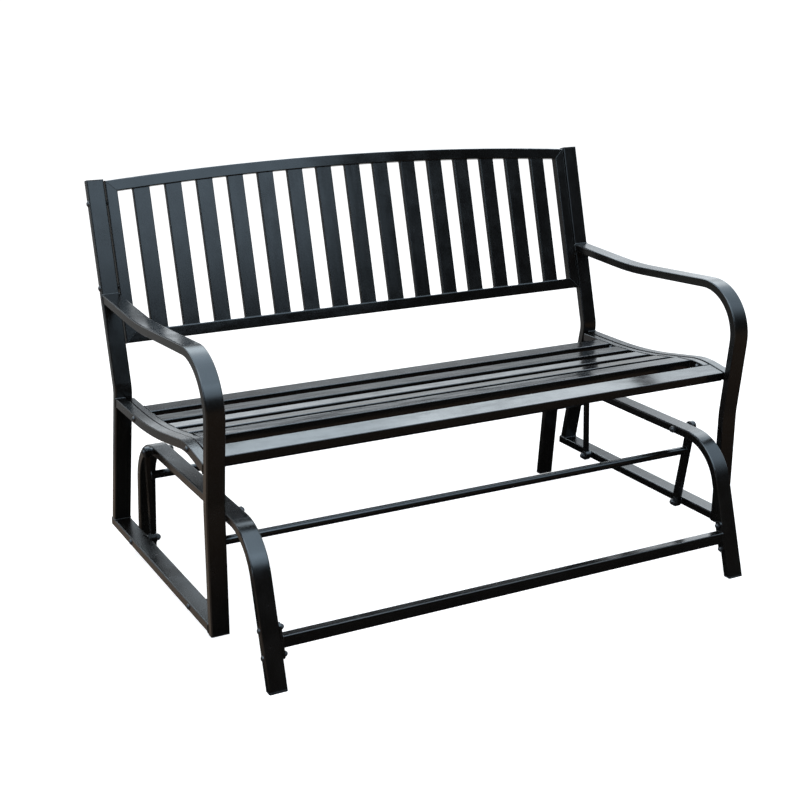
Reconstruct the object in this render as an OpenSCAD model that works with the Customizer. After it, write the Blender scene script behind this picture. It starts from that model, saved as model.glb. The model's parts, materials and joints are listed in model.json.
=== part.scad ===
// Two-seat patio glider: a bench on four swing links under a pair of floor arches.
// X runs along the bench, -Y is the front, +Z is up. The origin is on the floor,
// under the middle of the whole bench. Side-view places are [depth, height] pairs,
// where depth counts backwards from the toes of the front feet.

/* [Overall] */
// Width over the two side frames
bench_w = 1270; // [1150:5:1500]

/* [Frame tube] */
// Width of the flat frame tube, across the bench
tube_w = 38; // [34:1:42]
// Thickness of the flat frame tube, in the side view
tube_t = 19; // [17:0.5:21]
// Wall of the frame tube
tube_wall = 1.2; // [1:0.1:2.5]
// Rounding of the long edges of the frame tube
tube_edge = 3; // [1:0.5:4]

/* [Floor arches] */
// Height of the arches
arch_h = 295; // [283:1:313]
// Length of an arch on the floor, toe to heel
arch_l = 775; // [760:1:800]
// Rake of the front legs of the arches, in degrees from upright
arch_front_rake = 17; // [12:0.5:20]
// Rake of the rear legs of the arches, in degrees from upright
arch_rear_rake = 5.7; // [3:0.1:10]
// Radius of the front bend, to the middle of the tube
arch_front_r = 110; // [80:1:120]
// Radius of the rear bend, to the middle of the tube
arch_rear_r = 115; // [80:1:120]
// Height of the sole of a foot cap
foot_sole = 4; // [2:0.5:8]
// Height of the plug of a foot cap inside the tube
foot_plug_h = 18; // [10:1:30]

/* [Crossbar] */
// Height of the crossbar tube
crossbar_h = 25; // [20:1:30]
// Thickness of the crossbar tube, front to back
crossbar_t = 19; // [15:1:19]
// Height of the middle of the crossbar above the floor
crossbar_z = 88; // [72:1:120]
// Thickness of the bolted end plates
plate_t = 4.5; // [3:0.5:6]
// Distance between the two bolts of an end plate
plate_bolt_pitch = 52; // [46:1:60]

/* [Swing links] */
// Gap between an arch and the side frame beside it
link_gap = 25; // [24:0.5:30]
// Width of a front link, in the side view
front_link_w = 20; // [16:0.5:21]
// Width of a rear link, in the side view
rear_link_w = 12; // [10:0.5:16]
// Diameter of the round ends of a link
link_end_dia = 24; // [23:0.5:26]
// Thickness of a link
link_t = 10; // [8:0.5:11]
// Depth of the upper front pivots
front_pivot_d = 222; // [205:1:240]
// Depth of the upper rear pivots
rear_pivot_d = 634; // [615:1:645]
// Lean of the front links: their lower ends are further back, in degrees
front_link_lean = 9.9; // [5:0.1:14]
// Lean of the rear links: their lower ends are further forward, in degrees
rear_link_lean = 3.2; // [0:0.1:6]
// Diameter of the round spreader bars between the links
spreader_dia = 18; // [14:0.5:20]
// Wall of the spreader bars
spreader_wall = 1.2; // [1:0.1:2.5]
// Distance of the front spreader bar below the upper pivots
front_spreader_drop = 62.5; // [50:0.5:80]
// Distance of the rear spreader bar below the upper pivots
rear_spreader_drop = 54; // [45:0.5:75]
// Diameter of the pivot bolts
pivot_dia = 8; // [6:0.5:10]
// Outer diameter of the sleeve of a bushing
bushing_dia = 13; // [12:0.5:15]
// Clearance around the bolt in a bushing, on the radius
pivot_clear = 0.05; // [0.02:0.01:0.1]
// Clearance around the bolts of the rear lower pivots, on the radius
open_pivot_clear = 1.3; // [1.2:0.1:1.6]

/* [Side frames] */
// Height of the underside of the runners
runner_z = 78; // [65:1:95]
// Depth of the front faces of the front legs
leg_d = 129; // [120:1:140]
// Height of the slight bend in the front legs
leg_bend_z = 338; // [303:1:363]
// Forward lean of the front legs above that bend, in degrees
leg_lean = 6.2; // [3:0.1:9]
// Radius of the bend from front leg to armrest, to the middle of the tube
arm_bend_r = 105; // [80:1:115]
// Height of the top of the armrest where its two straights would meet
arm_dip_z = 611; // [593:1:633]
// Depth of that lowest place of the armrest
arm_dip_d = 502; // [470:1:530]
// Fall of the armrest from its front bend to the dip, in degrees
arm_fall = 3.9; // [2:0.1:6]
// Rise of the armrest from the dip to the rear post, in degrees
arm_rise = 2.9; // [1:0.1:5]
// Radius of the dip in the armrest
arm_dip_r = 900; // [500:10:1200]
// Depth of the front face of the rear posts at their bend
post_bend_d = 670.5; // [660:0.5:680]
// Height of the bend in the rear posts
post_bend_z = 418.5; // [413:0.5:428]
// Forward slope of the rear posts below the bend, in degrees
post_lean = 12; // [8:0.5:14]
// Recline of the rear posts above the bend, in degrees
recline = 15.7; // [12:0.1:18]
// Length of the rear posts above the bend
post_upper_l = 456; // [430:1:480]
// Distance that the runners reach past the feet of the rear posts
runner_tail = 3; // [1:0.5:10]

/* [Seat] */
// Height of the top of the seat behind its dip
seat_h = 403; // [395:1:405]
// Depth where the seat starts to rise to the front
seat_dip_d = 460; // [445:1:470]
// Depth of the crest of the seat
seat_crest_d = 237; // [230:1:243]
// Rise of the seat from dip to crest, in degrees
seat_rise = 9.7; // [8:0.1:11]
// Fall of the seat in front of the crest, in degrees
seat_fall = 9; // [7:0.1:11]
// Width of the seat rails of the side frames
rail_w = 22; // [18:0.5:24]
// Height of the seat rails and of the sides of the seat panel
rail_h = 20; // [18:0.5:22]
// Width of the sides of the seat panel
seat_side_w = 16; // [14:0.5:20]
// Gap between a panel and the side frame beside it
panel_gap = 2.5; // [1:0.5:4]
// Drop of the seat panel below the tops of the seat rails
panel_drop = 1.5; // [0:0.5:2.5]
// Width of the seat slats
seat_slat_w = 45; // [40:1:50]
// Thickness of the seat slats
seat_slat_t = 20; // [16:0.5:20]
// Depth of the middle of the rearmost seat slat
seat_slat_d = 581; // [576:1:586]
// Distance between seat slats, from middle to middle
seat_slat_pitch = 76.5; // [74:0.5:78]
// Flatter lie of the front slat than the sides beside it, in degrees
front_slat_tilt = 5; // [0:0.5:6]
// Width of the front rail of the seat
front_rail_w = 48; // [42:1:52]
// Depth of the rear ends of the sides of the seat panel
seat_side_end_d = 668; // [660:1:670]
// Wall of the panel tubes
panel_wall = 1; // [1:0.1:2]
// Rounding of the long edges of the panel tubes
panel_edge = 2; // [1:0.5:4]

/* [Back] */
// Face width of the tube round the back panel
back_tube_w = 25; // [22:0.5:28]
// Height of the underside of the back panel, along the recline from the bend
back_low = 102; // [95:1:110]
// Height of the back panel at its sides, along the recline
back_side_h = 352.5; // [340:0.5:370]
// Rise of the bowed top rail over its ends
top_bow = 23; // [10:1:35]
// Width of an upright slat
back_slat_w = 38; // [30:1:42]
// Thickness of an upright slat
back_slat_t = 12; // [8:1:14]
// Step from the face of the back panel back to the face of its slats
back_slat_step = 3; // [1:0.5:4]

/* [Fasteners] */
// Diameter of the panel and crossbar bolts
bolt_dia = 6; // [5:0.5:8]
// Clearance of a bolt in its hole, on the radius
bolt_clear = 0.2; // [0.1:0.05:0.4]
// Diameter of a domed bolt head
head_dia = 14; // [12:0.5:16]
// Height of a domed bolt head
head_h = 4; // [3:0.1:4.2]
// Depth of the front bolts of the seat panel
seat_bolt_front_d = 223; // [219:1:227]
// Depth of the rear bolts of the seat panel
seat_bolt_rear_d = 550; // [546:1:552]
// Height of the lower bolts of the back panel, along the recline from the bend
back_bolt_low_s = 226; // [200:2:250]
// Height of the upper bolts of the back panel, along the recline from the bend
back_bolt_high_s = 408; // [380:2:420]

/* [Hidden] */
// Numbers of slats, which the list of parts fixes
seat_slats = 5;
back_slats = 15;
// Number of arcs that the bow of the top rail is drawn with
bow_arcs = 6;

$fn = 48;
// Clearance of a plug inside its tube
plug_clear = 0.3;
// A bend is drawn out by this much at the seams, and its straights run into it
seam_step = 0.02;
seam_lap = 0.2;
// Height of the tube plugs, inside and outside the tube
plug_h = 15;
plug_lid = 2;
// Clearance between parts that turn against each other
run_clear = 0.3;
// Flange of a bushing
flange_t = 2;
flange_dia = link_end_dia - 2;
spacer_dia = 2*pivot_dia;
// Clearance of a bushing's sleeve in its link, on the radius
sleeve_clear = 0.05;
// Radius of the slight bends in legs and posts
slight_bend_r = 200;
post_bend_r = 60;
// Radii of the dip and the crest of the seat
seat_dip_r = 1200;
seat_crest_r = 200;
// Size of the blocks that cut tube ends
cut = 400;
// Domed nuts, as shares of the bolt's diameter
nut_hex = 0.8;
nut_corners = 1.9;
nut_dome = 1.6;
nut_dome_h = 0.55;
nut_depth = 0.9;
nut_grip = 0.7;
// Hexagonal socket of a bolt head: share of the bolt's diameter and of the head's height
socket_corners = 0.72;
socket_depth = 0.6;
// Inserts for the bolts of the back panel
insert_dia = bolt_dia + 3;
insert_bore = bolt_dia + 2*bolt_clear;
insert_l = 11;
insert_grip = 3;
insert_flange_t = 0.8;
insert_flange_dia = insert_dia + 3;
// Colours
satin_black = "#24282b";
plastic_black = "#15171a";
steel = "#7d8286";

seat_bolt_d = [seat_bolt_front_d, seat_bolt_rear_d];
back_bolt_s = [back_bolt_low_s, back_bolt_high_s];

// Places across the bench, for the right-hand side
side_out = bench_w/2;
side_in = side_out - tube_w;
arch_out = side_in - link_gap;
arch_in = arch_out - tube_w;
link_in = arch_out + (link_gap - link_t)/2;
link_out = link_in + link_t;
rail_in = side_out - rail_w;
seat_half = rail_in - panel_gap;
seat_inner = seat_half - seat_side_w;
back_half = side_in - panel_gap;
back_inner = back_half - back_tube_w;

// Plane geometry of the side view: a heading counts from +Y towards +Z
function dir(a) = [cos(a), sin(a)];
function heading(v) = atan2(v[1], v[0]);
function beside(p, a, o) = p + o*dir(a - 90);
function meet(p, a, q, b) = p + cross(q - p, dir(b))/cross(dir(a), dir(b))*dir(a);
function turn(u, v) = atan2(cross(u, v), u*v);
function unit(v) = v/norm(v);

// Corners of the middle line of a tube, from corners of one of its faces
function middle_line(pts, o) = let (n = len(pts) - 1,
        a = [for (i = [0:n - 1]) heading(pts[i + 1] - pts[i])])
    [for (i = [0:n])
        i == 0 ? beside(pts[0], a[0], o)
        : i == n ? beside(pts[n], a[n - 1], o)
        : meet(beside(pts[i], a[i - 1], o), a[i - 1], beside(pts[i], a[i], o), a[i])];

// Floor arch: the corners of its outer face, from toe to heel
arch_face = [
    [0, 0],
    [arch_h*tan(arch_front_rake), arch_h],
    [arch_l - arch_h*tan(arch_rear_rake), arch_h],
    [arch_l, 0]];
arch_line = middle_line(arch_face, tube_t/2);
arch_mid_z = arch_h - tube_t/2;

// Pivots
runner_mid_z = runner_z + tube_t/2;
pivot_fall = arch_mid_z - runner_mid_z;
front_top = [front_pivot_d, arch_mid_z];
front_low = [front_pivot_d + pivot_fall*tan(front_link_lean), runner_mid_z];
rear_top = [rear_pivot_d, arch_mid_z];
rear_low = [rear_pivot_d - pivot_fall*tan(rear_link_lean), runner_mid_z];

// Front leg and armrest: the corners of the outer face, from the floor end
leg_foot = [leg_d, runner_z];
leg_knee = [leg_d, leg_bend_z];
arm_dip = [arm_dip_d, arm_dip_z];
arm_corner = meet(leg_knee, 90 + leg_lean, arm_dip, 180 - arm_fall);
arm_reach = post_bend_d - arm_dip_d + 80;
arm_end = arm_dip + arm_reach/cos(arm_rise)*dir(arm_rise);
arm_line = middle_line([leg_foot, leg_knee, arm_corner, arm_dip, arm_end], tube_t/2);

// Rear post: front face below and above the bend
post_bend = [post_bend_d, post_bend_z];
runner_top = runner_z + tube_t;
post_foot = post_bend + (post_bend_z - runner_top)/cos(post_lean)*dir(post_lean - 90);
post_top = post_bend + post_upper_l*dir(90 - recline);
post_line = middle_line([post_foot + 40*dir(post_lean - 90), post_bend, post_top], tube_t/2);
runner_end_d = post_foot[0] + tube_t/cos(post_lean) + runner_tail;

// Seat: the top line, from the back to the front
seat_crest = [seat_crest_d, seat_h + (seat_dip_d - seat_crest_d)*tan(seat_rise)];
crest_tangent = seat_crest_r*tan((seat_rise + seat_fall)/2);
dip_tangent = seat_dip_r*tan(seat_rise/2);
// Ends of the two bends, and the middle of the crest's circle
dip_start_d = seat_dip_d + dip_tangent;
dip_stop_d = seat_dip_d - dip_tangent*cos(seat_rise);
crest_start = seat_crest + crest_tangent*dir(-seat_rise);
crest_centre = crest_start - seat_crest_r*dir(90 - seat_rise);
crest_stop_d = seat_crest_d - crest_tangent*cos(seat_fall);
front_rail_back = seat_crest - (crest_tangent + 1)*dir(seat_fall);

// Slope of the seat's top line, rising to the front, at a depth
function seat_slope(d) =
    d > dip_start_d ? 0
    : d > dip_stop_d ? asin((dip_start_d - d)/seat_dip_r)
    : d > crest_start[0] ? seat_rise
    : d > crest_stop_d ? asin((d - crest_centre[0])/seat_crest_r)
    : -seat_fall;
// Height of the seat's top line at a depth
function seat_z(d) =
    d > dip_start_d ? seat_h
    : d > dip_stop_d ? seat_h + seat_dip_r*(1 - cos(seat_slope(d)))
    : d > crest_start[0] ? seat_h + (seat_dip_d - d)*tan(seat_rise)
    : d > crest_stop_d ? crest_centre[1] + seat_crest_r*cos(seat_slope(d))
    : seat_crest[1] - (seat_crest_d - d)*tan(seat_fall);

// Back panel: its heights are along the recline, from the bend in the posts
back_top = back_low + back_side_h;
bow_r = (back_half*back_half + top_bow*top_bow)/(2*top_bow);
bow_centre = back_top + top_bow - bow_r;
// Height of the underside of the top rail at a place across the bench
function bow_low(x) = bow_centre + sqrt(pow(bow_r - back_tube_w, 2) - x*x);
// Ends of the slanted joints in the corners of the back panel, inner end first
top_joint = [[back_inner, bow_low(back_inner)], [back_half, back_top]];
low_joint = [[back_inner, back_low + back_tube_w], [back_half, back_low]];
// Places of the bolts of the two panels
function back_bolt(s) = post_bend + s*dir(90 - recline) + tube_t/2*dir(-recline);
function seat_bolt(d) = [d, seat_z(d)] - rail_h/2*dir(90 - seat_slope(d));
// Depth from the toes of the front feet to the back of the top rail
bench_d = post_bend_d + (back_top + top_bow)*sin(recline) + tube_t*cos(recline)
    - panel_edge*(sin(recline) + cos(recline) - 1);

// Names of slats count from 01
function slat_name(stem, i) = str(stem, i < 10 ? "0" : "", i);
// Facets that keep a bend within 0.02 mm of its circle
function bend_fn(r) = ceil(180/acos(1 - 0.02/r));

// Puts side-view geometry, drawn as [depth, height, across], in its place
module side_view() {
    translate([0, -bench_d/2, 0])
        rotate([90, 0, 90])
            children();
}

// In the side view: the part on its own side, right for 1 and left for -1
module on_side(side) {
    side_view()
        mirror([0, 0, side < 0 ? 1 : 0])
            children();
}

module both_sides() {
    for (side = [-1, 1])
        on_side(side) children();
}

// Lays back what is drawn as [across, behind the face, height along the recline]
module back_plane() {
    translate([0, post_bend_d - bench_d/2, post_bend_z])
        rotate([-recline, 0, 0])
            children();
}

// Section of a tube: a rounded rectangle
module rounded(a, b, r) {
    square([a - 2*r, b], center = true);
    square([a, b - 2*r], center = true);
    for (x = [-1, 1], y = [-1, 1])
        translate([x*(a/2 - r), y*(b/2 - r)]) circle(r);
}

module tube_section(a, b, r, wall) {
    difference() {
        rounded(a, b, r);
        square([a - 2*wall, b - 2*wall], center = true);
    }
}

// Sweeps a tube along a middle line, with a round bend at each inner corner
module bent(line, radii, a, b, edge, wall) {
    n = len(line) - 1;
    way = [for (i = [0:n - 1]) unit(line[i + 1] - line[i])];
    bend = [for (i = [0:n]) i == 0 || i == n ? 0 : turn(way[i - 1], way[i])];
    reach = [for (i = [0:n]) i == 0 || i == n ? 0 : radii[i - 1]*tan(abs(bend[i])/2)];
    for (i = [0:n - 1]) {
        back = reach[i] > 0 ? reach[i] - seam_lap : 0;
        ahead = reach[i + 1] > 0 ? reach[i + 1] - seam_lap : 0;
        start = line[i] + back*way[i];
        translate([start[0], start[1], 0])
            rotate([0, 0, heading(way[i])])
                rotate([90, 0, 90])
                    linear_extrude(norm(line[i + 1] - line[i]) - back - ahead)
                        tube_section(a, b, edge, wall);
    }
    for (i = [1:1:n - 1]) {
        side = sign(bend[i]);
        r = radii[i - 1];
        centre = line[i] - reach[i]*way[i - 1] - side*beside([0, 0], heading(way[i - 1]), r);
        from = heading(way[i - 1]) - 90*side;
        translate([centre[0], centre[1], 0])
            rotate([0, 0, min(from, from + bend[i])])
                rotate_extrude(angle = abs(bend[i]), $fn = bend_fn(r))
                    translate([r, 0])
                        tube_section(a - 2*seam_step, b - 2*seam_step,
                            edge - seam_step, wall - 2*seam_step);
    }
}

// A hole across the bench, between two places on the X axis
module bore(p, x0, x1, dia) {
    translate([p[0], p[1], x0]) cylinder(h = x1 - x0, d = dia);
}

// A block with one face through p, square to a heading, lying ahead of p
module block_ahead(p, a, across) {
    translate([p[0], p[1], across])
        rotate([0, 0, a])
            translate([0, -cut/2, -cut/2]) cube(cut);
}

// A domed head whose flat side is at x and whose dome faces the way of out
module dome(dia, h) {
    r = (dia*dia/4 + h*h)/(2*h);
    rotate_extrude()
        intersection() {
            translate([0, h - r]) circle(r, $fn = 96);
            square([dia/2, h]);
        }
}

// A bolt with its head's flat side at x = head, and its nut's flat side at x = nut
module bolt(p, head, nut, dia) {
    tip = nut - nut_grip*dia;
    translate([p[0], p[1], head])
        difference() {
            dome(head_dia, head_h);
            translate([0, 0, (1 - socket_depth)*head_h])
                cylinder(h = head_h, d = socket_corners*dia, $fn = 6);
        }
    translate([p[0], p[1], tip]) cylinder(h = head - tip + seam_lap, d = dia);
}

// A domed nut whose flat side is at x and which reaches inwards
module cap_nut(p, x, dia) {
    translate([p[0], p[1], x])
        mirror([0, 0, 1])
            difference() {
                union() {
                    cylinder(h = nut_hex*dia, d = nut_corners*dia, $fn = 6);
                    translate([0, 0, nut_hex*dia - seam_lap])
                        dome(nut_dome*dia, nut_dome_h*dia + seam_lap);
                }
                translate([0, 0, -1]) cylinder(h = nut_depth*dia + 1, d = dia + 2*bolt_clear);
            }
}

module ring(p, x0, x1, outer, inner) {
    translate([p[0], p[1], x0])
        difference() {
            cylinder(h = x1 - x0, d = outer);
            translate([0, 0, -1]) cylinder(h = x1 - x0 + 2, d = inner);
        }
}

// Floor arches

// Middle of the front leg of an arch at a height
function arch_leg(z) = arch_line[0]
    + (z - arch_line[0][1])/cos(arch_front_rake)*dir(90 - arch_front_rake);
crossbar_mid = arch_leg(crossbar_z);
function plate_bolt(k) = crossbar_mid + k*plate_bolt_pitch/2*dir(90 - arch_front_rake);
foot_over = 30;
module base_frame(side) {
    line = [
        arch_line[0] - foot_over*dir(90 - arch_front_rake),
        arch_line[1],
        arch_line[2],
        arch_line[3] + foot_over*dir(arch_rear_rake - 90)];
    color(satin_black) on_side(side)
        difference() {
            translate([0, 0, (arch_in + arch_out)/2])
                bent(line, [arch_front_r, arch_rear_r], tube_t, tube_w, tube_edge, tube_wall);
            floor_slab(-cut, foot_sole);
            for (p = [front_top, rear_top])
                bore(p, arch_in - 1, arch_out + 1, pivot_dia + 2*bolt_clear);
            for (k = [-1, 1])
                bore(plate_bolt(k), arch_in - 1, arch_out + 1, bolt_dia + 2*bolt_clear);
        }
}

// Everything round an arch between two heights
module floor_slab(z0, z1) {
    translate([-cut, z0, arch_in - 1]) cube([arch_l + 2*cut, z1 - z0, tube_w + 2]);
}

module foot_caps() {
    legs = [[arch_line[0], 90 - arch_front_rake], [arch_line[3], 90 + arch_rear_rake]];
    color(plastic_black) both_sides()
        for (leg = legs) {
            intersection() {
                foot_stub(leg) rounded(tube_t, tube_w, tube_edge);
                floor_slab(0, foot_sole);
            }
            intersection() {
                foot_stub(leg) plug_section();
                floor_slab(foot_sole - seam_lap, foot_sole + foot_plug_h);
            }
        }
}

// Section of a plug inside a frame tube
module plug_section() {
    loss = 2*(tube_wall + plug_clear);
    square([tube_t - loss, tube_w - loss], center = true);
}

// The lowest stretch of a leg of an arch
module foot_stub(leg) {
    start = leg[0] - foot_over*dir(leg[1]);
    translate([start[0], start[1], (arch_in + arch_out)/2])
        rotate([0, 0, leg[1]])
            rotate([90, 0, 90])
                linear_extrude(2*foot_over + foot_plug_h) children();
}

// Crossbar

module front_crossbar() {
    half = arch_in - plate_t;
    color(satin_black) side_view()
        translate([crossbar_mid[0], crossbar_mid[1], -half])
            linear_extrude(2*half)
                tube_section(crossbar_t, crossbar_h, panel_edge, panel_wall);
}

module crossbar_plates() {
    color(satin_black) both_sides()
        difference() {
            translate([crossbar_mid[0], crossbar_mid[1], arch_in - plate_t])
                rotate([0, 0, -arch_front_rake])
                    linear_extrude(plate_t)
                        union() {
                            square([tube_t, plate_bolt_pitch], center = true);
                            for (k = [-1, 1])
                                translate([0, k*plate_bolt_pitch/2]) circle(d = tube_t);
                        }
            for (k = [-1, 1])
                bore(plate_bolt(k), arch_in - plate_t - 1, arch_in + 1, bolt_dia + 2*bolt_clear);
        }
}

module crossbar_bolts() {
    color(steel) both_sides()
        for (k = [-1, 1])
            bolt(plate_bolt(k), arch_out, arch_in - plate_t, bolt_dia);
}

module crossbar_nuts() {
    color(steel) both_sides()
        for (k = [-1, 1])
            cap_nut(plate_bolt(k), arch_in - plate_t, bolt_dia);
}

// Upper pivots, which stay with the arches

upper_head_x = link_out + flange_t + run_clear;

module upper_pivot_bolts() {
    color(steel) both_sides()
        for (p = [front_top, rear_top])
            bolt(p, upper_head_x, arch_in, pivot_dia);
}

module upper_pivot_nuts() {
    color(steel) both_sides()
        for (p = [front_top, rear_top])
            cap_nut(p, arch_in, pivot_dia);
}

module upper_pivot_spacers() {
    color(steel) both_sides()
        for (p = [front_top, rear_top])
            ring(p, arch_out, link_in - flange_t - run_clear, spacer_dia, pivot_dia + 2*bolt_clear);
}

// Swing links

module link(top, low, w, side) {
    length = norm(low - top);
    color(satin_black) on_side(side)
        difference() {
            translate([top[0], top[1], link_in])
                rotate([0, 0, heading(low - top)])
                    linear_extrude(link_t)
                        union() {
                            circle(d = link_end_dia);
                            translate([length, 0]) circle(d = link_end_dia);
                            translate([0, -w/2]) square([length, w]);
                        }
            for (p = [top, low])
                bore(p, link_in - 1, link_out + 1, bushing_dia + 2*sleeve_clear);
        }
}

// A flanged bushing, pushed in from both faces of a link
module bushing(p, inner) {
    difference() {
        union() {
            bore(p, link_in - flange_t, link_out + flange_t, bushing_dia);
            bore(p, link_in - flange_t, link_in, flange_dia);
            bore(p, link_out, link_out + flange_t, flange_dia);
        }
        bore(p, link_in - flange_t - 1, link_out + flange_t + 1, inner);
    }
}

module front_link_bushings() {
    color(plastic_black) both_sides()
        for (p = [front_top, front_low])
            bushing(p, pivot_dia + 2*pivot_clear);
}

module rear_link_bushings() {
    color(plastic_black) both_sides() {
        bushing(rear_top, pivot_dia + 2*pivot_clear);
        bushing(rear_low, pivot_dia + 2*open_pivot_clear);
    }
}

module spreader_bar(top, low, drop) {
    p = top + drop*unit(low - top);
    color(satin_black) side_view()
        ring(p, -link_in, link_in, spreader_dia, spreader_dia - 2*spreader_wall);
}

// Lower pivots, which move with the seat

lower_nut_x = link_in - flange_t - run_clear;

module lower_pivot_bolts() {
    color(steel) both_sides()
        for (p = [front_low, rear_low])
            bolt(p, side_out, lower_nut_x, pivot_dia);
}

module lower_pivot_nuts() {
    color(steel) both_sides()
        for (p = [front_low, rear_low])
            cap_nut(p, lower_nut_x, pivot_dia);
}

module lower_pivot_spacers() {
    color(steel) both_sides()
        for (p = [front_low, rear_low])
            ring(p, link_out + flange_t + run_clear, side_in, spacer_dia, pivot_dia + 2*bolt_clear);
}

// Side frames

module side_sweep(line, radii) {
    translate([0, 0, (side_in + side_out)/2])
        bent(line, radii, tube_t, tube_w, tube_edge, tube_wall);
}

module runner(side) {
    color(satin_black) on_side(side)
        difference() {
            side_sweep([[leg_d + tube_t, runner_mid_z], [runner_end_d, runner_mid_z]], []);
            for (p = [front_low, rear_low])
                bore(p, side_in - 1, side_out + 1, pivot_dia + 2*bolt_clear);
        }
}

module arm_and_leg(side) {
    color(satin_black) on_side(side)
        difference() {
            side_sweep(arm_line, [slight_bend_r, arm_bend_r, arm_dip_r]);
            block_ahead(post_bend + post_upper_l/2*dir(90 - recline), -recline, side_out);
        }
}

module rear_post(side) {
    color(satin_black) on_side(side)
        difference() {
            side_sweep(post_line, [post_bend_r]);
            translate([post_foot[0] - cut/2, runner_top - cut, side_in - 1])
                cube([cut, cut, tube_w + 2]);
            for (s = back_bolt_s)
                bore(back_bolt(s), side_in - 1, side_out + 1, bolt_dia + 2*bolt_clear);
        }
}

rail_radii = [seat_dip_r + rail_h/2, seat_crest_r - rail_h/2];
// Middle of the seat rails, from a depth at the back to a point in front
function rail_line(back_d, front_p) = middle_line(
    [[back_d, seat_h], [seat_dip_d, seat_h], seat_crest, front_p], -rail_h/2);

module seat_rail(side) {
    over = 40;
    front = seat_crest - (seat_crest_d - leg_d)/cos(seat_fall)*dir(seat_fall);
    line = rail_line(post_bend_d + over, front);
    color(satin_black) on_side(side)
        difference() {
            translate([0, 0, side_out - rail_w/2])
                bent(line, rail_radii, rail_h, rail_w, panel_edge, panel_wall);
            block_ahead(post_bend, post_lean, side_out);
            block_ahead(leg_knee + tube_t*dir(leg_lean), 180 + leg_lean, side_out);
            for (d = seat_bolt_d)
                bore(seat_bolt(d), rail_in - 1, side_out + 1, bolt_dia + 2*bolt_clear);
        }
}

// Plugs in the open ends of the side frames: legs below, posts on top, runners behind
module tube_plugs() {
    ends = [
        [leg_foot + [tube_t/2, 0], 90],
        [post_top + tube_t/2*dir(-recline), -90 - recline],
        [[runner_end_d, runner_mid_z], 180]];
    color(plastic_black) both_sides()
        for (e = ends)
            translate([e[0][0], e[0][1], (side_in + side_out)/2])
                rotate([0, 0, e[1]])
                    rotate([90, 0, 90]) {
                        translate([0, 0, -plug_lid])
                            linear_extrude(plug_lid) rounded(tube_t, tube_w, tube_edge);
                        translate([0, 0, -seam_lap])
                            linear_extrude(plug_h) plug_section();
                    }
}

// Seat panel

module seat_side(side) {
    line = rail_line(seat_side_end_d, front_rail_back);
    color(satin_black) on_side(side)
        difference() {
            translate([0, -panel_drop, seat_half - seat_side_w/2])
                bent(line, rail_radii, rail_h, seat_side_w, panel_edge, panel_wall);
            for (d = seat_bolt_d)
                bore(seat_bolt(d), seat_inner - 1, seat_half + 1, bolt_dia + 2*bolt_clear);
        }
}

// A tube along the seat panel, with the middle of its top below p, turned by a
module cross_tube(p, a, w, t, half) {
    color(satin_black) side_view()
        translate([p[0], p[1] - panel_drop, -half])
            rotate([0, 0, a])
                translate([0, -t/2, 0])
                    linear_extrude(2*half) tube_section(w, t, panel_edge, panel_wall);
}

module seat_front_rail() {
    p = front_rail_back - front_rail_w/2*dir(seat_fall);
    cross_tube(p, seat_fall, front_rail_w, rail_h, seat_half);
}

module seat_slat(i) {
    d = seat_slat_d - (i - 1)*seat_slat_pitch;
    tilt = i == seat_slats ? front_slat_tilt : 0;
    cross_tube([d, seat_z(d)], tilt - seat_slope(d), seat_slat_w, seat_slat_t, seat_inner);
}

// Back panel

// A block above the line through two points of the panel
module above(a, b) {
    translate([a[0], tube_t/2, a[1]])
        rotate([0, -heading(b - a), 0])
            translate([-cut/2, -cut/2, 0]) cube(cut);
}

// A block below the line through two points of the panel
module below(a, b) {
    translate([a[0], tube_t/2, a[1]])
        rotate([0, -heading(b - a), 0])
            translate([-cut/2, -cut/2, -cut]) cube(cut);
}

module back_stile(side) {
    color(satin_black) back_plane() mirror([side < 0 ? 1 : 0, 0, 0])
        difference() {
            translate([(back_inner + back_half)/2, tube_t/2, back_low])
                linear_extrude(back_side_h)
                    tube_section(back_tube_w, tube_t, panel_edge, panel_wall);
            above(top_joint[0], top_joint[1]);
            below(low_joint[0], low_joint[1]);
            for (s = back_bolt_s)
                translate([back_half - 2*panel_wall, tube_t/2, s])
                    rotate([0, 90, 0])
                        cylinder(h = 2*panel_wall + 1, d = insert_dia + 2*sleeve_clear);
        }
}

// Its middle line is one bow, drawn as arcs that follow each other
module back_top_rail() {
    half_angle = asin(back_half/bow_r) + 0.5;
    step = 2*half_angle/bow_arcs;
    r = bow_r - back_tube_w/2;
    ends = [for (s = [1, -1]) [0, bow_centre] + r*dir(90 + s*half_angle)];
    corners = [for (i = [0.5:1:bow_arcs])
        [0, bow_centre] + r/cos(step/2)*dir(90 + half_angle - i*step)];
    line = concat([ends[0]], corners, [ends[1]]);
    color(satin_black) back_plane()
        difference() {
            translate([0, tube_t/2, 0])
                rotate([90, 0, 0])
                    bent(line, [for (c = corners) r], back_tube_w, tube_t, panel_edge, panel_wall);
            for (side = [0, 1])
                mirror([side, 0, 0])
                    below(top_joint[0], top_joint[1]);
        }
}

module back_bottom_rail() {
    color(satin_black) back_plane()
        difference() {
            translate([-back_half, tube_t/2, back_low + back_tube_w/2])
                rotate([90, 0, 90])
                    linear_extrude(2*back_half)
                        tube_section(tube_t, back_tube_w, panel_edge, panel_wall);
            for (side = [0, 1])
                mirror([side, 0, 0])
                    above(low_joint[0], low_joint[1]);
        }
}

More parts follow.
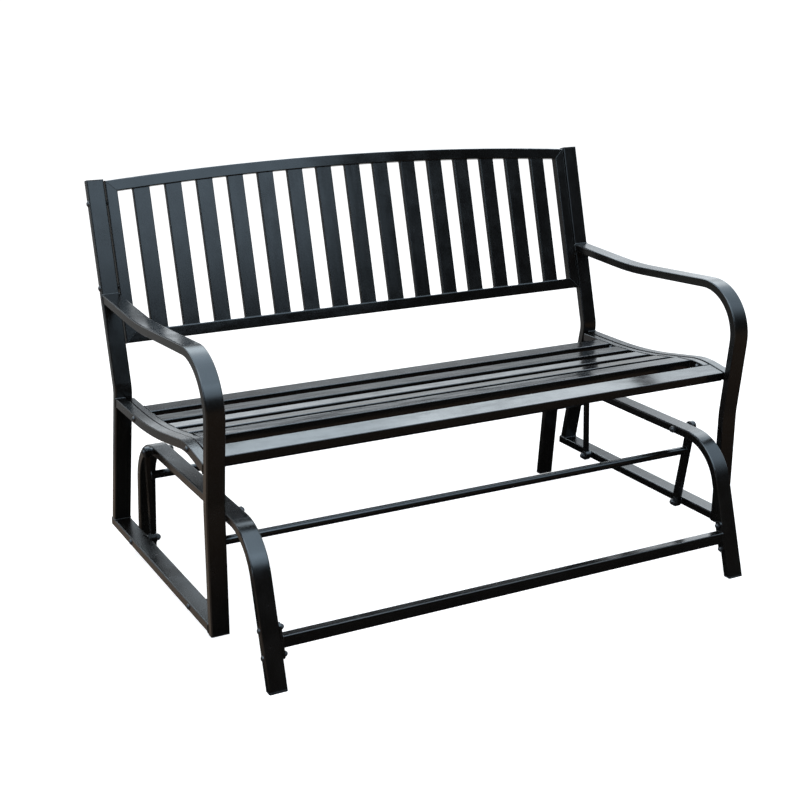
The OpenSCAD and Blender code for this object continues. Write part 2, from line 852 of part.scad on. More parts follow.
// Its top is cut along the line between two points of the rail's underside
module back_slat(i) {
    gap = (2*back_inner - back_slats*back_slat_w)/(back_slats + 1);
    x0 = -back_inner + i*gap + (i - 1)*back_slat_w;
    x1 = x0 + back_slat_w;
    color(satin_black) back_plane()
        difference() {
            translate([(x0 + x1)/2, back_slat_step + back_slat_t/2, back_low + back_tube_w])
                linear_extrude(back_side_h)
                    tube_section(back_slat_w, back_slat_t, panel_edge, panel_wall);
            above([x0, bow_low(x0)], [x1, bow_low(x1)]);
        }
}

// Bolts and nuts that hold the two panels between the side frames

module panel_bolts() {
    color(steel) both_sides() {
        for (d = seat_bolt_d)
            bolt(seat_bolt(d), side_out, seat_inner, bolt_dia);
        for (s = back_bolt_s)
            bolt(back_bolt(s), side_out, back_half - insert_l + insert_grip, bolt_dia);
    }
}

module seat_bolt_nuts() {
    color(steel) both_sides()
        for (d = seat_bolt_d)
            cap_nut(seat_bolt(d), seat_inner, bolt_dia);
}

// A flanged insert in a stile, which takes a bolt of the back panel
module insert(p) {
    difference() {
        union() {
            bore(p, back_half - insert_l, back_half + insert_flange_t, insert_dia);
            bore(p, back_half, back_half + insert_flange_t, insert_flange_dia);
        }
        bore(p, back_half - insert_l - 1, back_half + insert_flange_t + 1, insert_bore);
    }
}

module back_bolt_inserts() {
    color(steel) both_sides()
        for (s = back_bolt_s)
            insert(back_bolt(s));
}

base_frame(-1);  // base_frame_left
base_frame(1);  // base_frame_right
front_crossbar();
crossbar_plates();
foot_caps();
crossbar_bolts();
crossbar_nuts();
upper_pivot_bolts();
upper_pivot_nuts();
upper_pivot_spacers();
link(front_top, front_low, front_link_w, -1);  // front_link_left
link(front_top, front_low, front_link_w, 1);  // front_link_right
spreader_bar(front_top, front_low, front_spreader_drop);  // front_spreader_bar
front_link_bushings();
link(rear_top, rear_low, rear_link_w, -1);  // rear_link_left
link(rear_top, rear_low, rear_link_w, 1);  // rear_link_right
spreader_bar(rear_top, rear_low, rear_spreader_drop);  // rear_spreader_bar
rear_link_bushings();
runner(-1);  // runner_left
runner(1);  // runner_right
arm_and_leg(-1);  // arm_and_leg_left
arm_and_leg(1);  // arm_and_leg_right
rear_post(-1);  // rear_post_left
rear_post(1);  // rear_post_right
seat_rail(-1);  // seat_rail_left
seat_rail(1);  // seat_rail_right
tube_plugs();
seat_side(-1);  // seat_side_left
seat_side(1);  // seat_side_right
seat_front_rail();
for (i = [1:seat_slats])
    seat_slat(i);
back_stile(-1);  // back_stile_left
back_stile(1);  // back_stile_right
back_top_rail();
back_bottom_rail();
for (i = [1:back_slats])
    back_slat(i);
panel_bolts();
seat_bolt_nuts();
back_bolt_inserts();
lower_pivot_bolts();
lower_pivot_nuts();
lower_pivot_spacers();
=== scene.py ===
from functools import partial
import json
import math

import bpy
from mathutils import Matrix, Vector


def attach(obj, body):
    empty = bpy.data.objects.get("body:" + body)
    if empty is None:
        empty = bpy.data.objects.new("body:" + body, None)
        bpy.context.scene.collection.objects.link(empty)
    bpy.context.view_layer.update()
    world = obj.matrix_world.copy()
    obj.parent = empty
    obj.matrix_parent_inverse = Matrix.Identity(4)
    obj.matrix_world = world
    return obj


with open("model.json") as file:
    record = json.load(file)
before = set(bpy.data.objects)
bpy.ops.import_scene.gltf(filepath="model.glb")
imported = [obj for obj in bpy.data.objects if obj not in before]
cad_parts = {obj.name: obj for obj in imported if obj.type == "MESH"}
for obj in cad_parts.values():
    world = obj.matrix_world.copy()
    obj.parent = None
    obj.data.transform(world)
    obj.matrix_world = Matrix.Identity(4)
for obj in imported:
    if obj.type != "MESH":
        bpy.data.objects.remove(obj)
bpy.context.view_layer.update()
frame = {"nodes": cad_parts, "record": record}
MM = 0.001

# Sizes that the solids were built with, in millimetres and degrees. Depths count from the toes
# of the front feet, and HALF_D is the depth of the part's origin.
HALF_D = 408.76814

# Side frames
SIDE_OUT = 635.0
TUBE_W = 38.0
TUBE_T = 19.0
TUBE_R = 3.0
SIDE_IN = SIDE_OUT - TUBE_W
SIDE_MID = SIDE_OUT - TUBE_W / 2
POST_BEND = (670.5, 418.5)
POST_LEAN = 12.0
RECLINE = 15.7
LEG_D = 129.0
LEG_KNEE_Z = 338.0
LEG_LEAN = 6.2
RUNNER_Z = 78.0
ARM_DIP = (502.0, 611.0)
ARM_RISE = 2.9
RAIL_W = 22.0
RAIL_H = 20.0

# Floor arches, crossbar and links
LINK_GAP = 25.0
LINK_T = 10.0
ARCH_OUT = SIDE_IN - LINK_GAP
ARCH_IN = ARCH_OUT - TUBE_W
LINK_IN = ARCH_OUT + (LINK_GAP - LINK_T) / 2
PLATE_T = 4.5
CROSSBAR = (36.84, 88.0)
CROSSBAR_T = 19.0
CROSSBAR_H = 25.0
PIVOT_Z = 285.5
SPREADER_R = 9.0
# Each body of links with the depth of its upper pivots, its lean and its spreader bar's drop
LINKS = (("front_links", 222.0, 9.9, 62.5), ("rear_links", 634.0, -3.2, 54.0))

# Seat panel
PANEL_GAP = 2.5
PANEL_DROP = 1.5
PANEL_R = 2.0
SEAT_SIDE_W = 16.0
SEAT_HALF = SIDE_OUT - RAIL_W - PANEL_GAP
SEAT_INNER = SEAT_HALF - SEAT_SIDE_W
SEAT_H = 403.0
SEAT_DIP_D = 460.0
SEAT_DIP_R = 1200.0
# Where the seat starts to bend up from the dip
SEAT_BEND_D = 561.8
SEAT_RISE = 9.7
SEAT_CREST = (237.0, 441.12)
SEAT_FALL = 9.0
# From the crest to the back of the front rail
CREST_TO_RAIL = 33.93
SEAT_SLATS = 5
SEAT_SLAT_D = 581.0
SEAT_SLAT_PITCH = 76.5
SEAT_SLAT_W = 45.0
SEAT_SLAT_T = 20.0
FRONT_SLAT_TILT = 5.0

# Back panel
BACK_TUBE = 25.0
BACK_HALF = SIDE_IN - PANEL_GAP
BACK_INNER = BACK_HALF - BACK_TUBE
BACK_LOW = 102.0
BACK_SIDE = 352.5
TOP_BOW = 23.0
TOP_BOW_R = (BACK_HALF ** 2 + TOP_BOW ** 2) / (2 * TOP_BOW)
BACK_SLATS = 15
BACK_SLAT_W = 38.0
BACK_SLAT_T = 12.0
BACK_SLAT_STEP = 3.0


# Places

def sin_of(angle):
    return math.sin(math.radians(angle))


def cos_of(angle):
    return math.cos(math.radians(angle))


def tan_of(angle):
    return math.tan(math.radians(angle))


def slant(length, angle):
    """Length of a cut through a tube that leans by the angle."""
    return length / cos_of(angle)


def below(p, angle, drop):
    """The point at a drop under p, square to a line along the angle."""
    return p[0] + drop * sin_of(angle), p[1] - drop * cos_of(angle)


def crossing(p, a, q, b):
    """Where the line through p along the angle a meets the one through q along b."""
    ax, az, bx, bz = cos_of(a), sin_of(a), cos_of(b), sin_of(b)
    t = ((q[0] - p[0]) * bz - (q[1] - p[1]) * bx) / (ax * bz - az * bx)
    return p[0] + t * ax, p[1] + t * az


def side_point(x, d, z):
    """A point of the side view, d behind the toes of the front feet."""
    return Vector((x, d - HALF_D, z)) * MM


def side_way(angle):
    """A direction in the side view: it counts from +Y towards +Z."""
    return Vector((0, cos_of(angle), sin_of(angle)))


def back_point(x, height):
    """A point on the face of the back panel, its height along the recline."""
    return side_point(x, POST_BEND[0] + height * sin_of(RECLINE),
                      POST_BEND[1] + height * cos_of(RECLINE))


ACROSS = Vector((1, 0, 0))


# Materials

def new_material(name):
    mat = bpy.data.materials.new(name)
    mat.use_nodes = True
    mat.node_tree.nodes.clear()
    return mat, mat.node_tree


def node(tree, kind, inputs, **settings):
    """A new node. Each input is set to a number or a colour, or linked to another's output."""
    made = tree.nodes.new(kind)
    for key, value in settings.items():
        setattr(made, key, value)
    for key, value in inputs.items():
        socket = made.inputs[key]
        if isinstance(value, bpy.types.NodeSocket):
            tree.links.new(value, socket)
        elif socket.type == "RGBA":
            socket.default_value = (*value, 1.0)
        else:
            socket.default_value = value
    return made


def math_node(tree, operation, first, *others):
    for other in others:
        first = node(tree, "ShaderNodeMath", {0: first, 1: other},
                     operation=operation).outputs[0]
    return first


def noise(tree, coords, scale, detail, rough=0.5):
    return node(tree, "ShaderNodeTexNoise", {
        "Vector": coords, "Scale": scale, "Detail": detail, "Roughness": rough}).outputs["Fac"]


def spread(tree, value, low, high, out_low=0.0, out_high=1.0):
    """The value moved from the span low to high onto the other span, and kept in it."""
    return node(tree, "ShaderNodeMapRange", {
        "Value": value, "From Min": low, "From Max": high,
        "To Min": out_low, "To Max": out_high}).outputs["Result"]


def mix_colour(tree, factor, a, b):
    return node(tree, "ShaderNodeMix", {"Factor": factor, 6: a, 7: b},
                data_type="RGBA").outputs[2]


def bump(tree, height, distance, normal):
    return node(tree, "ShaderNodeBump", {
        "Height": height, "Distance": distance, "Normal": normal}).outputs["Normal"]


def emission(tree, colour, strength):
    return node(tree, "ShaderNodeEmission", {
        "Color": colour, "Strength": strength}).outputs[0]


def mix_shader(tree, factor, a, b):
    return node(tree, "ShaderNodeMixShader", {0: factor, 1: a, 2: b}).outputs[0]


def add_shader(tree, a, b):
    return node(tree, "ShaderNodeAddShader", {0: a, 1: b}).outputs[0]


def mirrored_ray(tree, path):
    return math_node(tree, "MAXIMUM", path.outputs["Is Glossy Ray"],
                     path.outputs["Is Transmission Ray"])


# Patches of a noise: its scale per metre, detail and roughness, and the span of its values that
# is stretched to 0 and 1
TONE = (5.0, 3.0, 0.5), (0.35, 0.65)
SMUDGES = (22.0, 6.0, 0.62), (0.40, 0.72)
RUBBED = (70.0, 4.0, 0.5), (0.45, 0.62)
GRAIN = (3.0, 4.0, 0.5), (0.3, 0.7)
# Scale and detail of a coat's peel, and of a tube's slow waves
PEEL = (700.0, 2.0)
WAVES = (1.0, 2.0)
# Share of its tone that a coat keeps in dark places and has in smudges, and how far smudges and
# rubbed edges show
DARK_SHARE, SMUDGE_SHARE = 0.8, 1.5
SMUDGE_MIX, RUBBED_MIX = 0.35, 0.45
# What smudges add to the roughness at least and at most, and what rubbing adds
SMUDGE_ROUGH = (-0.03, 0.05)
RUBBED_ROUGH = -0.04
# Radius that edges are rounded to, and the cosines of the turn at which they start to be
# rubbed and are rubbed in full
EDGE_R = 0.0008
EDGE_TURN = (0.995, 0.86)


def patches(tree, coords, kind, span):
    return spread(tree, noise(tree, coords, *kind), *span)


def edge_mask(tree):
    """1 along sharp edges and 0 on flat faces, and the normal that rounds the edges."""
    soft = node(tree, "ShaderNodeBevel", {"Radius": EDGE_R}, samples=4).outputs["Normal"]
    plain = node(tree, "ShaderNodeNewGeometry", {}).outputs["Normal"]
    dot = node(tree, "ShaderNodeVectorMath", {0: soft, 1: plain}, operation="DOT_PRODUCT")
    return spread(tree, dot.outputs["Value"], *EDGE_TURN), soft


def coated(name, tone, worn, rough, peel, level, metallic=0.0, waves=None, wave_height=0.0):
    """Painted or moulded surface: uneven tone and gloss, fine peel, rubbed edges.

    waves are the scales of the slow unevenness of a tube's walls along X, Y and Z.
    """
    mat, tree = new_material(name)
    at = node(tree, "ShaderNodeTexCoord", {}).outputs["Object"]
    broad = patches(tree, at, *TONE)
    smudge = patches(tree, at, *SMUDGES)
    edges, normal = edge_mask(tree)
    rubbed = math_node(tree, "MULTIPLY", edges, patches(tree, at, *RUBBED))

    colour = mix_colour(tree, broad, tuple(DARK_SHARE * c for c in tone), tone)
    colour = mix_colour(tree, math_node(tree, "MULTIPLY", smudge, SMUDGE_MIX), colour,
                        tuple(SMUDGE_SHARE * c for c in tone))
    colour = mix_colour(tree, math_node(tree, "MULTIPLY", rubbed, RUBBED_MIX), colour, worn)
    uneven = math_node(tree, "ADD",
                       spread(tree, smudge, 0.0, 1.0, *(rough + more for more in SMUDGE_ROUGH)),
                       math_node(tree, "MULTIPLY", rubbed, RUBBED_ROUGH))

    if waves:
        stretched = node(tree, "ShaderNodeMapping", {"Vector": at, "Scale": waves}).outputs[0]
        normal = bump(tree, noise(tree, stretched, *WAVES), wave_height, normal)
    normal = bump(tree, noise(tree, at, *PEEL), peel, normal)

    shader = node(tree, "ShaderNodeBsdfPrincipled", {
        "Metallic": metallic, "Specular IOR Level": level, "Base Color": colour,
        "Roughness": uneven, "Normal": normal}).outputs[0]
    node(tree, "ShaderNodeOutputMaterial", {"Surface": shader})
    return mat


PAINT = dict(tone=(0.0040, 0.0036, 0.0033), worn=(0.024, 0.024, 0.025), peel=0.00001,
             level=0.375)
frame_across = coated("frame_paint_across", rough=0.17, waves=(6.0, 20.0, 20.0),
                      wave_height=0.0010, **PAINT)
frame_side = coated("frame_paint_side", rough=0.24, waves=(26.0, 4.0, 4.0),
                    wave_height=0.0005, **PAINT)
weld_black = coated("weld_paint", tone=(0.0055, 0.0052, 0.0050), worn=(0.045, 0.045, 0.047),
                    rough=0.28, peel=0.00003, level=0.35)
cap_black = coated("cap_plastic_moulded", tone=(0.0090, 0.0088, 0.0088),
                   worn=(0.030, 0.030, 0.031), rough=0.45, peel=0.00005, level=0.25)
bolt_black = coated("bolt_zinc_black", tone=(0.0240, 0.0240, 0.0250),
                    worn=(0.140, 0.140, 0.145), rough=0.30, peel=0.00002, level=0.45,
                    metallic=0.35)

# Tubes that run along the bench
ALONG = ("seat_slat", "seat_front", "back_top", "back_bottom", "front_crossbar",
         "front_spreader", "rear_spreader")
SLOTS = {part["node"]: part["material_slot"] for part in frame["record"]["subparts"]}
for name, thing in frame["nodes"].items():
    thing.data.materials.clear()
    thing.data.materials.append(
        cap_black if SLOTS[name] == "cap_plastic"
        else bolt_black if SLOTS[name] == "bolt_black"
        else frame_across if name.startswith(ALONG) else frame_side)


# Weld beads

BEAD_SIDES = 8
# Share of its radius by which a bead swells and shrinks, and the turn from point to point
RIPPLE, RIPPLE_TURN = 0.13, 2.1
CORNER_STEPS = 3


def bead(verts, faces, path, radius):
    """Adds a rippled tube along a closed path to a mesh."""
    count, start = len(path), len(verts)
    for i, p in enumerate(path):
        way = (path[(i + 1) % count] - path[i - 1]).normalized()
        side = way.orthogonal() if abs(way.x) > 0.9 else way.cross(ACROSS)
        side.normalize()
        up = way.cross(side)
        r = radius * (1.0 + RIPPLE * math.sin(RIPPLE_TURN * i))
        for k in range(BEAD_SIDES):
            a = 2 * math.pi * k / BEAD_SIDES
            verts.append(p + r * (math.cos(a) * side + math.sin(a) * up))
    for i in range(count):
        a, b = start + i * BEAD_SIDES, start + (i + 1) % count * BEAD_SIDES
        for k in range(BEAD_SIDES):
            k2 = (k + 1) % BEAD_SIDES
            faces.append((a + k, a + k2, b + k2, b + k))


def section_path(centre, u, v, a, b, r, pitch=1.6):
    """Points round a rounded rectangle, a by b millimetres along u and v."""
    flat = []
    for i, (sx, sy) in enumerate(((1, 1), (-1, 1), (-1, -1), (1, -1))):
        for k in range(CORNER_STEPS + 1):
            turned = 90 * i + 90 / CORNER_STEPS * k
            flat.append((sx * (a / 2 - r) + r * cos_of(turned),
                         sy * (b / 2 - r) + r * sin_of(turned)))
    out = []
    for p, q in zip(flat, flat[1:] + flat[:1]):
        steps = max(1, round(math.dist(p, q) / pitch))
        for t in (k / steps for k in range(steps)):
            x, y = p[0] + t * (q[0] - p[0]), p[1] + t * (q[1] - p[1])
            out.append(centre + (x * u + y * v) * MM)
    return out


def circle_path(centre, u, v, radius, steps=36):
    turns = (2 * math.pi * k / steps for k in range(steps))
    return [centre + radius * MM * (math.cos(t) * u + math.sin(t) * v) for t in turns]


def panel_path(p, q, step, depth, pitch=2.0):
    """Round a joint in the back panel, from p to q as seen from the front.

    The tube's face lies a step behind the panel's, and the tube is as deep as depth.
    """
    a, b = back_point(*p), back_point(*q)
    back = side_way(-RECLINE)
    return section_path((a + b) / 2 + (step + depth / 2) * MM * back,
                        (b - a).normalized(), back, (b - a).length / MM, depth, PANEL_R, pitch)


def welds(name, body, paths, radius):
    """A piece of beads along the paths, painted like the frame, which rides the body."""
    verts, faces = [], []
    for path in paths:
        bead(verts, faces, path, radius * MM)
    mesh = bpy.data.meshes.new(name)
    mesh.from_pydata([tuple(v) for v in verts], [], faces)
    mesh.validate()
    for polygon in mesh.polygons:
        polygon.use_smooth = True
    made = bpy.data.objects.new(name, mesh)
    bpy.context.scene.collection.objects.link(made)
    mesh.materials.append(weld_black)
    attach(made, body)


SIDES = (-1, 1)
RUNNER_TOP = RUNNER_Z + TUBE_T
post_foot_d = POST_BEND[0] + (POST_BEND[1] - RUNNER_TOP) * tan_of(POST_LEAN)
arm_end = crossing(below(ARM_DIP, ARM_RISE, TUBE_T / 2), ARM_RISE, POST_BEND, 90 - RECLINE)
rail_back = crossing((0, SEAT_H - RAIL_H / 2), 0, POST_BEND, 90 + POST_LEAN)
leg_back = (LEG_D + TUBE_T * cos_of(LEG_LEAN), LEG_KNEE_Z + TUBE_T * sin_of(LEG_LEAN))
rail_front = crossing(below(SEAT_CREST, SEAT_FALL, RAIL_H / 2), SEAT_FALL,
                      leg_back, 90 + LEG_LEAN)

frame_welds = []
for side in SIDES:
    tube, rail = side * SIDE_MID, side * (SIDE_OUT - RAIL_W / 2)
    frame_welds += [
        section_path(side_point(tube, post_foot_d + slant(TUBE_T / 2, POST_LEAN), RUNNER_TOP),
                     ACROSS, side_way(0), TUBE_W, slant(TUBE_T, POST_LEAN), TUBE_R),
        section_path(side_point(tube, LEG_D + TUBE_T, RUNNER_Z + TUBE_T / 2),
                     ACROSS, side_way(90), TUBE_W, TUBE_T, TUBE_R),
        section_path(side_point(tube, *arm_end), ACROSS, side_way(90 - RECLINE),
                     TUBE_W, slant(TUBE_T, ARM_RISE + RECLINE), TUBE_R),
        section_path(side_point(rail, *rail_back), ACROSS, side_way(90 + POST_LEAN),
                     RAIL_W, slant(RAIL_H, POST_LEAN), PANEL_R),
        section_path(side_point(rail, *rail_front), ACROSS, side_way(90 + LEG_LEAN),
                     RAIL_W, slant(RAIL_H, SEAT_FALL - LEG_LEAN), PANEL_R)]
welds("side_frame_welds", "seat", frame_welds, radius=1.6)


def seat_line(d):
    """Height and slope of the seat's top line, which bends up from the dip to a straight."""
    slope = math.degrees(math.asin(max(0.0, SEAT_BEND_D - d) / SEAT_DIP_R))
    if slope < SEAT_RISE:
        return SEAT_H + SEAT_DIP_R * (1 - cos_of(slope)), slope
    return SEAT_H + (SEAT_DIP_D - d) * tan_of(SEAT_RISE), SEAT_RISE


seat_welds = []
for i in range(SEAT_SLATS):
    d = SEAT_SLAT_D - SEAT_SLAT_PITCH * i
    height, slope = seat_line(d)
    angle = -slope + (FRONT_SLAT_TILT if i == SEAT_SLATS - 1 else 0)
    mid = below((d, height - PANEL_DROP), angle, SEAT_SLAT_T / 2)
    for side in SIDES:
        seat_welds.append(section_path(
            side_point(side * SEAT_INNER, *mid), side_way(angle), side_way(angle + 90),
            SEAT_SLAT_W, SEAT_SLAT_T, PANEL_R, pitch=2.0))
front_back = (SEAT_CREST[0] - CREST_TO_RAIL * cos_of(SEAT_FALL),
              SEAT_CREST[1] - CREST_TO_RAIL * sin_of(SEAT_FALL) - PANEL_DROP)
for side in SIDES:
    seat_welds.append(section_path(
        side_point(side * (SEAT_HALF - SEAT_SIDE_W / 2),
                   *below(front_back, SEAT_FALL, RAIL_H / 2)),
        ACROSS, side_way(SEAT_FALL + 90), SEAT_SIDE_W, RAIL_H, PANEL_R, pitch=2.0))
welds("seat_panel_welds", "seat", seat_welds, radius=1.1)


def bow_low(x):
    """Height of the lower edge of the bowed top rail."""
    return (BACK_LOW + BACK_SIDE + TOP_BOW - TOP_BOW_R
            + math.sqrt((TOP_BOW_R - BACK_TUBE) ** 2 - x * x))


back_welds, corner_seams = [], []
rail_top = BACK_LOW + BACK_TUBE
gap = (2 * BACK_INNER - BACK_SLATS * BACK_SLAT_W) / (BACK_SLATS + 1)
for i in range(BACK_SLATS):
    x0 = -BACK_INNER + (i + 1) * gap + i * BACK_SLAT_W
    x1 = x0 + BACK_SLAT_W
    for z0, z1 in ((rail_top, rail_top), (bow_low(x0), bow_low(x1))):
        back_welds.append(panel_path((x0, z0), (x1, z1), BACK_SLAT_STEP, BACK_SLAT_T))
for side in SIDES:
    for inner, outer in ((bow_low(BACK_INNER), BACK_LOW + BACK_SIDE), (rail_top, BACK_LOW)):
        corner_seams.append(panel_path((side * BACK_INNER, inner), (side * BACK_HALF, outer),
                                       0, TUBE_T, pitch=1.5))
welds("back_panel_welds", "seat", back_welds, radius=1.0)
welds("back_corner_seams", "seat", corner_seams, radius=0.6)

welds("crossbar_welds", "base", [
    section_path(side_point(side * (ARCH_IN - PLATE_T), *CROSSBAR), side_way(0), side_way(90),
                 CROSSBAR_T, CROSSBAR_H, PANEL_R)
    for side in SIDES], radius=1.3)
for body, pivot_d, lean, drop in LINKS:
    bar = below((pivot_d, PIVOT_Z), lean, drop)
    welds(f"{body}_welds", body, [
        circle_path(side_point(side * LINK_IN, *bar), side_way(0), side_way(90), SPREADER_R)
        for side in SIDES], radius=1.2)


# Floor and lights

WHITE = (1.0, 1.0, 1.0)
# The studio that glossy paint mirrors: a wall and a soft box behind the bench and a bank of
# lamps overhead. Before the bench it is all but unlit, and the lamp there is an area lamp.
BACK_TINT = (0.93, 1.0, 1.06)
BOX_TINT = (0.86, 1.0, 1.10)
FRONT_TINT = (0.76, 1.0, 1.22)
FRONT_LEVEL = 0.02
# What lights matt surfaces
PLAIN_TINT, PLAIN_LEVEL = (0.92, 0.96, 1.0), 0.45

FLOOR_SIZE = 160.0
FLOOR_GREY = (0.80, 0.80, 0.80)
GRAIN_SHARE = 0.985
FLOOR_LIFT = 0.75
# Where glossy paint mirrors the floor, the floor shows painted light in place of its lit
# colour:
# painted shade under the bench, a painted glow behind it, a warm painted strip to its left and
# a weaker one before it. Tints, glow levels, the share of the glow behind that is left at the
# left, and the places in metres where each begins and ends.
FLOOR_TINT, FLOOR_GLOW = (1.0, 1.0, 0.98), 0.65
STRIP_TINT, STRIP_GLOW = (1.0, 0.80, 0.64), 0.42
FORE_TINT, FORE_GLOW = (1.0, 0.64, 0.38), 0.2
LEFT_SHARE = 0.5
LEFT_X = (-0.60, -0.72)
BEHIND_Y = (0.7, 1.4)
STRIP_Y = (1.1, 0.8)
FORE_Y = (-0.5, -1.1)

# Levels of the wall at elevations in degrees
WALL = ((0, 0.55), (3, 1.05), (5, 1.25), (9, 1.15), (11.5, 0.62), (17, 0.64), (21, 0.97),
        (25, 1.2), (30, 0.5), (60, 0.3))
# Levels of the soft box and of the bank, at angles round the X axis that count from the back
# over the top to the front
SOFT_BOX = ((0, 4.4), (30, 4.6), (38, 5.0), (43, 5.5), (48, 5.8), (54, 4.4), (64, 1.3),
            (76, 0.0))
BANK = ((40, 0.0), (56, 1.0), (64, 2.8), (73, 4.0), (90, 4.1), (105, 4.4), (120, 4.8),
        (127, 4.5), (134, 3.0), (142, 1.4), (149, 0.4), (156, 0.0))
# The level that a ramp's 1 stands for
BRIGHTEST = 8.0


def floor_material(name):
    """Lit plainly, lifted to white where the camera sees it. Where glossy paint mirrors it, it
    shows
    painted light instead: painted shade under the bench, a painted glow behind it and warm
    painted strips to its left and before it."""
    mat, tree = new_material(name)
    at = node(tree, "ShaderNodeTexCoord", {}).outputs["Object"]
    grey = mix_colour(tree, patches(tree, at, *GRAIN),
                      tuple(GRAIN_SHARE * c for c in FLOOR_GREY), FLOOR_GREY)
    diffuse = node(tree, "ShaderNodeBsdfDiffuse", {"Color": grey}).outputs[0]
    path = node(tree, "ShaderNodeLightPath", {})
    seen = add_shader(tree, diffuse, emission(tree, WHITE, math_node(
        tree, "MULTIPLY", path.outputs["Is Camera Ray"], FLOOR_LIFT)))

    place = node(tree, "ShaderNodeSeparateXYZ", {0: at}).outputs
    left = spread(tree, place["X"], *LEFT_X)
    # Painted glow behind the bench and painted shade under it, kept at a share at the left
    glow_behind_shade_under = math_node(tree, "MULTIPLY",
                           spread(tree, place["Y"], *BEHIND_Y, FRONT_LEVEL, FLOOR_GLOW),
                           spread(tree, left, 0.0, 1.0, 1.0, LEFT_SHARE))
    # A warm painted glow in a strip to the left of the bench
    left_strip_glow = math_node(tree, "MULTIPLY", left, spread(tree, place["Y"], *STRIP_Y),
                            STRIP_GLOW)
    # A weaker warm painted glow before the bench
    glow_before = spread(tree, place["Y"], *FORE_Y, 0.0, FORE_GLOW)
    # Glossy rays see only this painted light on the floor, and other rays see the lit floor
    painted_glow = add_shader(tree, emission(tree, FLOOR_TINT, glow_behind_shade_under),
                          add_shader(tree, emission(tree, STRIP_TINT, left_strip_glow),
                                     emission(tree, FORE_TINT, glow_before)))
    node(tree, "ShaderNodeOutputMaterial", {
        "Surface": mix_shader(tree, mirrored_ray(tree, path), seen, painted_glow)})
    return mat


half = FLOOR_SIZE / 2
mesh = bpy.data.meshes.new("floor")
mesh.from_pydata([(-half, -half, 0), (half, -half, 0), (half, half, 0), (-half, half, 0)],
                 [], [(0, 1, 2, 3)])
mesh.materials.append(floor_material("floor_paint"))
floor = bpy.data.objects.new("floor", mesh)
bpy.context.scene.collection.objects.link(floor)

world = bpy.data.worlds.new("studio")
bpy.context.scene.world = world
world.use_nodes = True
sky = world.node_tree
sky.nodes.clear()
product = partial(math_node, sky, "MULTIPLY")
total_of = partial(math_node, sky, "ADD")
way = node(sky, "ShaderNodeSeparateXYZ", {
    0: node(sky, "ShaderNodeTexCoord", {}).outputs["Generated"]}).outputs
# Azimuth, which counts from the back towards +X, and the turn round the X axis
azimuth = math_node(sky, "ARCTAN2", way["X"], way["Y"])
turn = math_node(sky, "DIVIDE", math_node(sky, "ARCTAN2", way["Z"], way["Y"]), math.pi)


def background(colour, strength):
    return node(sky, "ShaderNodeBackground", {
        "Color": colour, "Strength": strength}).outputs[0]


def by_azimuth(a, b, out_a=0.0, out_b=1.0):
    return spread(sky, azimuth, math.radians(a), math.radians(b), out_a, out_b)


def by_height(a, b, out_a=0.0, out_b=1.0):
    return spread(sky, way["Z"], sin_of(a), sin_of(b), out_a, out_b)


def by_levels(value, stops):
    """Levels at positions from 0 to 1, straight between them."""
    ramp = node(sky, "ShaderNodeValToRGB", {0: value})
    elements = ramp.color_ramp.elements
    while len(elements) < len(stops):
        elements.new(1.0)
    for stop, (position, level) in zip(elements, stops):
        grey = level / BRIGHTEST
        stop.position = position
        stop.color = (grey, grey, grey, 1.0)
    return product(ramp.outputs["Color"], BRIGHTEST)


def by_turn(stops):
    return by_levels(turn, [(angle / 180, level) for angle, level in stops])


# 1 behind the bench and 0 before it
behind = spread(sky, way["Y"], -0.2, 0.35)
# The soft box and the bank weaken towards the bench's far end
towards_far = spread(sky, way["X"], 0.30, 0.66, 1.05, 0.52)
wall_levels = by_levels(way["Z"], [(sin_of(angle), level) for angle, level in WALL])
# Where the wall is uneven: shade higher up at the left, a glow low down at the left and in the
# middle, a dimmer stretch above it at the right, and double levels at the far right
shade = math_node(sky, "SUBTRACT", 1.0,
                  product(by_azimuth(26, 15), by_height(13, 20, 0.0, 0.78)))
glow = product(by_height(2.5, 4.5),
               total_of(product(by_azimuth(36, 31, 0.0, 0.3), by_height(8, 6.5)),
                        product(by_azimuth(24, 20, 0.0, 0.45), by_height(11, 9.5))))
dimmer = product(by_azimuth(27, 31, 0.0, -0.4), by_azimuth(41, 38),
                 by_height(8, 10), by_height(16, 13))
wall = product(behind, wall_levels, total_of(shade, by_azimuth(37, 43), glow, dimmer))
box = product(behind, by_height(27, 31), by_turn(SOFT_BOX), towards_far)
bank = product(by_turn(BANK), towards_far)

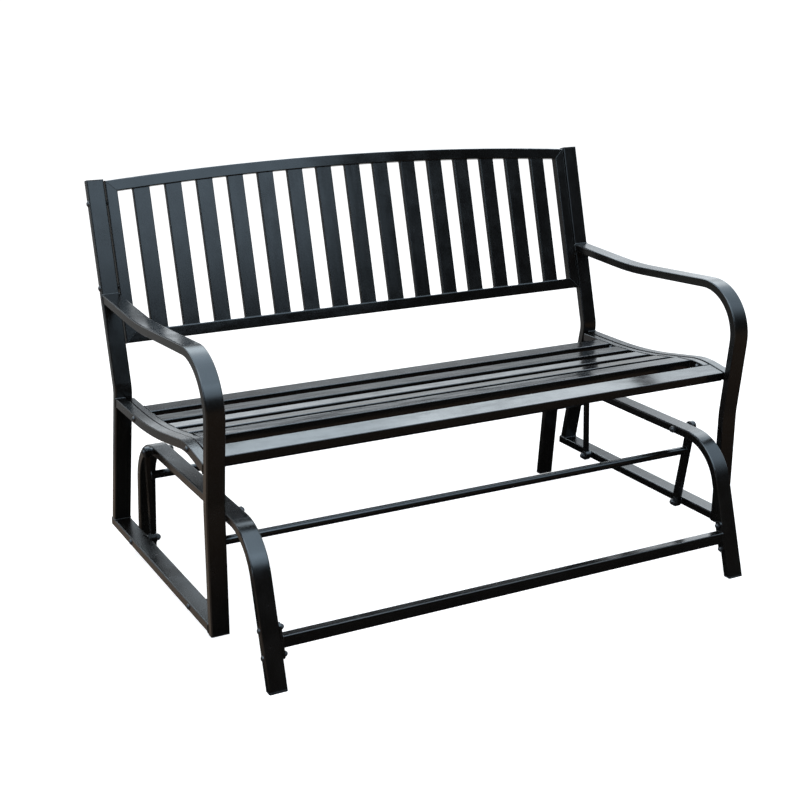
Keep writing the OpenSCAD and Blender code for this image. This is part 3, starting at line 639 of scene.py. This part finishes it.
path = node(sky, "ShaderNodeLightPath", {})
studio = add_shader(sky, background(BACK_TINT, total_of(wall, FRONT_LEVEL)),
                    add_shader(sky, background(BOX_TINT, box), background(FRONT_TINT, bank)))
lit = mix_shader(sky, mirrored_ray(sky, path), background(PLAIN_TINT, PLAIN_LEVEL), studio)
node(sky, "ShaderNodeOutputWorld", {"Surface": mix_shader(
    sky, path.outputs["Is Camera Ray"], lit, background(WHITE, 1.0))})


def area_lamp(name, place, target, size, power, colour=WHITE):
    lamp = bpy.data.lights.new(name, "AREA")
    lamp.shape = "RECTANGLE"
    lamp.size, lamp.size_y = size
    lamp.energy = power
    lamp.color = colour
    made = bpy.data.objects.new(name, lamp)
    bpy.context.scene.collection.objects.link(made)
    made.location = place
    made.visible_camera = False
    made.rotation_euler = (Vector(target) - Vector(place)).to_track_quat("-Z", "Y").to_euler()


area_lamp("key", (-1.6, -1.4, 4.2), (0, 0, 0.4), size=(2.4, 2.4), power=75)
area_lamp("fill", (2.6, 2.2, 3.6), (0, 0, 0.4), size=(2.4, 2.4), power=25)
# A soft box before the bench, and a strip behind it at the right
area_lamp("front", (0.40, -2.6, 2.435), (0.40, 0.0, 2.435), size=(2.1, 1.63), power=32,
          colour=FRONT_TINT)
area_lamp("rear", (1.5, 1.5, 1.23), (1.5, 0.0, 1.23), size=(2.4, 0.40), power=5.0,
          colour=BACK_TINT)


# Camera

VIEW_AZIMUTH, VIEW_ELEVATION, VIEW_ROLL = -28.2346, 17.4014, 0.157
VIEW_FROM = (-1.4575, -2.56777, 1.3065)
lens = bpy.data.cameras.new("camera")
lens.lens = 62.865
lens.sensor_width = 36.0
camera = bpy.data.objects.new("camera", lens)
bpy.context.scene.collection.objects.link(camera)
turned = (Matrix.Rotation(math.radians(VIEW_AZIMUTH), 4, "Z")
          @ Matrix.Rotation(math.radians(90 - VIEW_ELEVATION), 4, "X")
          @ Matrix.Rotation(math.radians(VIEW_ROLL), 4, "Z"))
camera.matrix_world = Matrix.Translation(VIEW_FROM) @ turned
bpy.context.scene.camera = camera
bpy.context.scene.view_settings.view_transform = "Standard"
